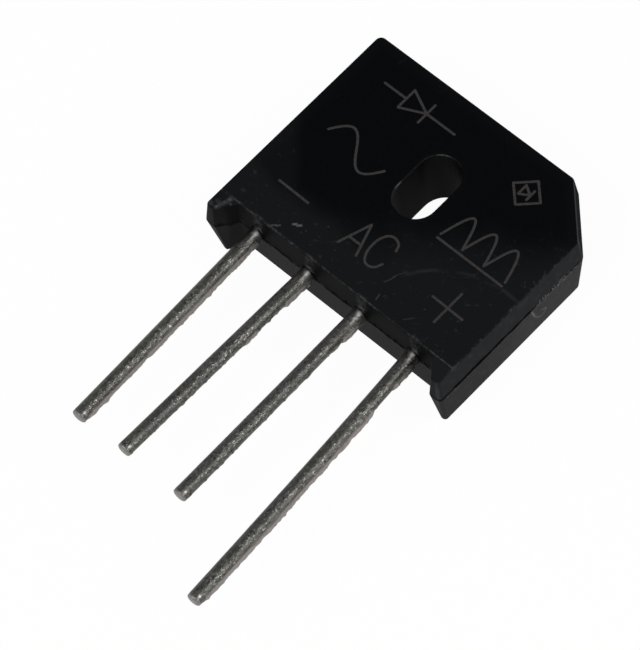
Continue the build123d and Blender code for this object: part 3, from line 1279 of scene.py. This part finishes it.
    def _layers(
        self, along: np.ndarray, turn: np.ndarray, film: np.ndarray, groove: np.ndarray, run: float,
    ) -> dict[str, np.ndarray]:
        """Numbers from 0 to 1 that the material reads.

        Args:
            along: Distances from the body.
            turn: Angles round the wire.
            film: Height of the thick solder.
            groove: Share of the dark creases.
            run: The wire's length along its lean.

        Returns:
            The thick film, its creases that take painted shade, the sunny side for painted light, the tip,
            and the painted glints at the root and the tip.
        """
        sunny = np.degrees(turned(turn, radians(self.light_angle)))
        glints = bell(along, 0.20, 0.20)[:, None] * bell(sunny, -18.0, 17.0)
        glints += 0.4 * bell(along, 0.55, 0.45)[:, None] * bell(sunny, -16.0, 8.0)
        glints += 0.5 * bell(along, run - 0.45, 0.12)[:, None] * bell(sunny, -2.0, 9.0)
        thinner = 0.35 + 0.65 * np.clip((along - 0.8) / 1.5, 0, 1)
        even = np.ones_like(film)
        return {
            "film": np.clip(film / self.full_film, 0, 1) * thinner[:, None],
            "groove": groove,
            "sunny": bell(sunny, 0.0, 40.0) * even,
            "tip": np.clip((along - (run - 0.26)) / 0.1, 0, 1)[:, None] * even,
            "root": glints,
        }

    def build(self, material: bpy.types.Material) -> bpy.types.Object:
        """Makes the lead.

        Args:
            material: Its finish.

        Returns:
            The lead, on the root body in its plain solid's place.
        """
        rings, layers = self.surface()
        made = shell(f"{self.name}_dipped", rings, layers)
        dress(made, material)
        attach(made, "root")
        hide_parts(self.name)
        return made


@dataclass
class Collar:
    """Thin uneven bead of moulding flash where a lead leaves the body."""

    name: str
    place: float
    seed: int
    wire_radius: float = 0.60
    reach: float = 0.10
    height: float = 0.06
    sunk: float = 0.03
    lobes: int = 8

    def build(self, material: bpy.types.Material) -> bpy.types.Object:
        """Makes the bead.

        Point (a, b) lies at angle a round the wire and b round the bead's section: an ellipse of half sizes
        reach and height about the wire's surface, scaled by a sum of cosines of a.

        Args:
            material: Its finish.

        Returns:
            The bead, on the root body.
        """
        rng = np.random.default_rng(self.seed)
        a = np.linspace(0, 2 * pi, 72, endpoint=False)
        b = np.linspace(0, 2 * pi, 14, endpoint=False)
        lobes = np.arange(1, self.lobes + 1)[:, None]
        uneven = 0.75 + 0.1 * np.cos(lobes * a + rng.uniform(0, 2 * pi, (self.lobes, 1))).sum(0)
        uneven = np.clip(uneven, 0.3, 1.15)[:, None]
        out = self.wire_radius + self.reach * uneven * (0.15 + 0.85 * np.cos(b))
        fore = self.height * uneven * np.sin(b)
        x = self.place + out * np.sin(a)[:, None]
        z = PARTING_LEVEL + out * np.cos(a)[:, None]
        y = LEAD_SIDE + self.sunk - fore
        made = torus(self.name, np.stack([x, y, z], -1))
        dress(made, material)
        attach(made, "root")
        return made


@dataclass
class LeadRow:
    """The four leads and the beads round their exits."""

    finish: TinnedFinish = field(default_factory=TinnedFinish)
    bead_seed: int = 60

    def leads(self) -> list[Lead]:
        """The four leads.

        Returns:
            The leads, from the minus end.
        """
        return [
            Lead("minus_lead", LEAD_PLACES[0], lean=1.7, length=19.08, seed=11, lumps=[
                Lump(-0.2, 12.5, 0.165), Lump(12.3, 18.8, 0.13),
            ]),
            Lead("left_supply_lead", LEAD_PLACES[1], lean=-0.6, length=18.88, seed=23, lumps=[
                Lump(-0.2, 3.1, 0.20), Lump(5.6, 7.2, 0.15),
            ]),
            Lead("right_supply_lead", LEAD_PLACES[2], lean=0.6, length=18.88, seed=37, lumps=[
                Lump(-0.2, 2.5, 0.21), Lump(2.6, 3.6, 0.08),
            ]),
            Lead("plus_lead", LEAD_PLACES[3], lean=3.4, length=24.02, seed=41, lumps=[
                Lump(-0.2, 3.0, 0.20), Lump(5.0, 23.5, 0.19),
            ], bow=0.10),
        ]

    def build(self, epoxy: bpy.types.Material) -> None:
        """Makes the leads and their beads.

        Args:
            epoxy: The beads' finish.
        """
        solder = self.finish.material()
        for number, lead in enumerate(self.leads()):
            made = lead.build(solder)
            LOG.info("%s: %d faces", made.name, len(made.data.polygons))
            collar = Collar(f"exit_bead_{number + 1}", lead.place, self.bead_seed + number)
            bead = collar.build(epoxy)
            LOG.info("%s: %d faces", bead.name, len(bead.data.polygons))


@dataclass
class Moulding:
    """The black moulding and what is sealed in it, all kept from the solid model."""

    epoxy: EpoxyFinish = field(default_factory=EpoxyFinish)

    def build(self) -> bpy.types.Material:
        """Dresses the body and the inner pieces.

        Returns:
            The epoxy material.
        """
        epoxy = self.epoxy.material()
        copper = InnerFinish(
            "stamped_copper", (0.55, 0.25, 0.15), (0.82, 0.45, 0.32), metallic=1.0, rough=0.3,
        )
        silicon = InnerFinish(
            "silicon_die", (0.05, 0.055, 0.07), (0.10, 0.11, 0.13), metallic=0.3, rough=0.25, scale=1.2,
        )
        solder = InnerFinish(
            "die_solder", (0.35, 0.35, 0.34), (0.6, 0.6, 0.58), metallic=1.0, rough=0.4, scale=4.0,
        )
        finishes = {
            "moulding": epoxy, "copper": copper.material(), "silicon": silicon.material(),
            "solder": solder.material(),
        }
        for subpart in frame["record"]["subparts"]:
            node, slot = subpart["node"], subpart["material_slot"]
            if slot in finishes:
                dress(frame["nodes"][node], finishes[slot])
                LOG.info("%s dressed", node)
        return epoxy


@dataclass
class Studio:
    """White floor, pale surroundings, soft lamps and the camera."""

    camera_place: Point3 = (117.56, -101.10, 270.76)
    camera_right: Point3 = (0.7267, 0.6808, -0.0920)
    camera_down: Point3 = (0.5697, -0.6720, -0.4732)
    focal_pixels: float = 4272.27
    picture_height: int = 650
    sensor: float = 36.0
    floor_reach: float = 6000.0
    floor_level: float = -0.002
    floor_glow: float = 0.96
    room_low: float = 1.0
    room_high: float = 0.42
    lamp_target: Point3 = (0.0, -12.0, 3.0)

    def camera(self) -> None:
        """Sets the camera where a fit to the lines of the moulding and the leads puts it."""
        data = bpy.data.cameras.new("camera")
        data.sensor_width = self.sensor
        data.lens = self.focal_pixels / self.picture_height * self.sensor
        data.clip_start = 0.01
        data.clip_end = 50.0
        made = bpy.data.objects.new("camera", data)
        right = Vector(self.camera_right).normalized()
        up = -Vector(self.camera_down)
        up = (up - right * up.dot(right)).normalized()
        back = right.cross(up)
        turn = Matrix((right, up, back)).transposed().to_4x4()
        made.matrix_world = Matrix.Translation(Vector(self.camera_place) * MM) @ turn
        bpy.context.scene.collection.objects.link(made)
        bpy.context.scene.camera = made

    def floor(self) -> None:
        """Lays a wide white floor under the part, which keeps its shadow."""
        g = Graph("white_floor")
        paths = g.node("ShaderNodeLightPath").socket.node.outputs
        seen = Field(g, paths["Is Camera Ray"]) + Field(g, paths["Is Glossy Ray"])
        seen = g.least(seen + Field(g, paths["Is Transmission Ray"]), 1.0)
        paint = g.node("ShaderNodeBsdfDiffuse", sockets={"Color": (0.95, 0.95, 0.95)})
        glow = g.node("ShaderNodeEmission", sockets={"Color": (1.0, 1.0, 1.0), "Strength": 1.0})
        g.end(g.node("ShaderNodeMixShader", sockets={0: seen * self.floor_glow, 1: paint, 2: glow}))
        across = np.linspace(-self.floor_reach, self.floor_reach, 3)
        u, v = np.meshgrid(across, across, indexing="ij")
        points = np.stack([u, v, np.full_like(u, self.floor_level)], -1).reshape(-1, 3) * MM
        quads = [(3 * i + j, 3 * i + j + 3, 3 * i + j + 4, 3 * i + j + 1) for i in (0, 1) for j in (0, 1)]
        mesh = bpy.data.meshes.new("floor")
        mesh.from_pydata(points.tolist(), [], quads)
        made = bpy.data.objects.new("floor", mesh)
        bpy.context.scene.collection.objects.link(made)
        dress(made, g.material)

    def surroundings(self) -> None:
        """Makes the room: white low down, grey overhead and a little brighter towards the plus side."""
        world = bpy.data.worlds.new("room")
        bpy.context.scene.world = world
        world.use_nodes = True
        tree = world.node_tree
        tree.nodes.clear()
        where = tree.nodes.new("ShaderNodeTexCoord")
        height = tree.nodes.new("ShaderNodeVectorMath")
        height.operation = "DOT_PRODUCT"
        height.inputs[1].default_value = (-0.12, 0.0, 1.0)
        rise = tree.nodes.new("ShaderNodeMapRange")
        rise.interpolation_type = "SMOOTHSTEP"
        ends = {"From Min": 0.20, "From Max": 0.92, "To Min": self.room_low, "To Max": self.room_high}
        for key, value in ends.items():
            rise.inputs[key].default_value = value
        room = tree.nodes.new("ShaderNodeBackground")
        output = tree.nodes.new("ShaderNodeOutputWorld")
        tree.links.new(where.outputs["Generated"], height.inputs[0])
        tree.links.new(height.outputs["Value"], rise.inputs["Value"])
        tree.links.new(rise.outputs[0], room.inputs["Strength"])
        tree.links.new(room.outputs[0], output.inputs[0])

    def lamp(self, name: str, place: Point3, size: float, power: float) -> None:
        """Hangs a square soft lamp that looks at the part.

        Args:
            name: Its name.
            place: Where it hangs, in millimetres.
            size: Its side, in millimetres.
            power: Its power in watts.
        """
        data = bpy.data.lights.new(name, "AREA")
        data.size = size * MM
        data.energy = power
        made = bpy.data.objects.new(name, data)
        back = Vector(place) - Vector(self.lamp_target)
        turn = back.to_track_quat("Z", "Y").to_matrix().to_4x4()
        made.matrix_world = Matrix.Translation(Vector(place) * MM) @ turn
        bpy.context.scene.collection.objects.link(made)

    def build(self) -> None:
        """Sets up the whole studio."""
        self.camera()
        self.floor()
        self.surroundings()
        self.lamp("key", (487.0, 190.0, 448.0), 240.0, 1.3)
        self.lamp("top", (-60.0, -420.0, 520.0), 300.0, 1.6)
        bpy.context.scene.view_settings.view_transform = "Standard"


def main() -> None:
    """Builds the studio, then the part from the inside out."""
    logging.basicConfig(level=logging.INFO, format="%(name)s: %(message)s")
    Studio().build()
    epoxy = Moulding().build()
    LeadRow().build(epoxy)
    BurntMarks().build()


if __name__ == "__main__":
    main()
